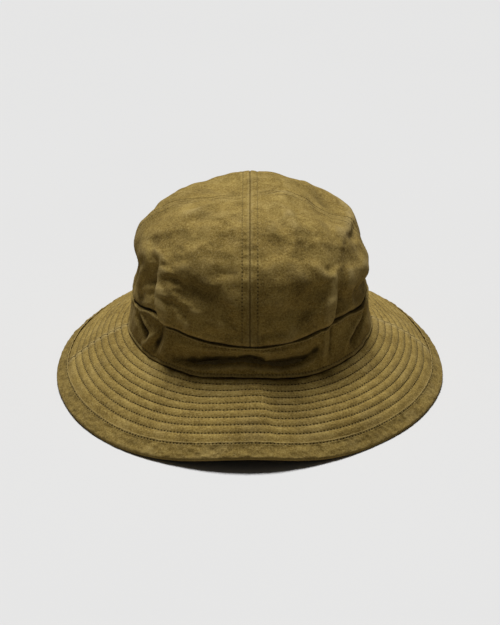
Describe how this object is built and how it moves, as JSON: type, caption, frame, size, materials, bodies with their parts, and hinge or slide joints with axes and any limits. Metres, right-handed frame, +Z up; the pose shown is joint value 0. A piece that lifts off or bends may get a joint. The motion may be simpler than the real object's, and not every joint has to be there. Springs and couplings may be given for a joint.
{
  "type": "bucket hat",
  "caption": "Soft bucket hat with a four-gore domed crown, a side band and a sloping quilted brim with a bound edge; a blank tape label swings inside.",
  "frame": {"origin": "centre of the head opening in plan, on the plane that the brim rests on", "axes": "+Z up, the hat's front faces -Y, +X is on the right of someone who looks at the front"},
  "size_m": [0.2958, 0.3155, 0.1485],
  "materials": {
    "olive_twill": "washed heavy cotton twill, matt, faded along its folds and seams",
    "thread": "spun cotton-wrapped sewing thread, a little darker than the cloth",
    "sweatband_twill": "soft cotton twill tape",
    "seam_tape": "herringbone cotton tape",
    "interlining": "unbleached woven canvas, hidden",
    "label_tape": "blank woven satin tape"
  },
  "bodies": {
    "hat": {"crown_front_left": "olive_twill", "crown_front_right": "olive_twill", "crown_rear_left": "olive_twill", "crown_rear_right": "olive_twill", "crown_centre_tape": "seam_tape", "crown_cross_tape": "seam_tape", "side_band": "olive_twill", "sweatband": "sweatband_twill", "brim_top_front": "olive_twill", "brim_top_rear": "olive_twill", "brim_interlining_front": "interlining", "brim_interlining_rear": "interlining", "brim_under_front": "olive_twill", "brim_under_rear": "olive_twill", "brim_edge_binding": "olive_twill", "brim_needle_thread": "thread", "brim_bobbin_thread": "thread", "binding_thread": "thread", "band_lower_thread": "thread", "band_upper_thread": "thread", "sweatband_thread": "thread", "crown_centre_thread": "thread", "crown_cross_thread": "thread", "care_label_thread": "thread"},
    "label": {"care_label": "label_tape"}
  },
  "joints": [
    {"name": "label_swing", "type": "hinge", "parent": "hat", "child": "label", "pos_m": [0, 0.09107, 0.0695], "axis": [-1, 0, 0], "range_deg": [0, 100]}
  ]
}
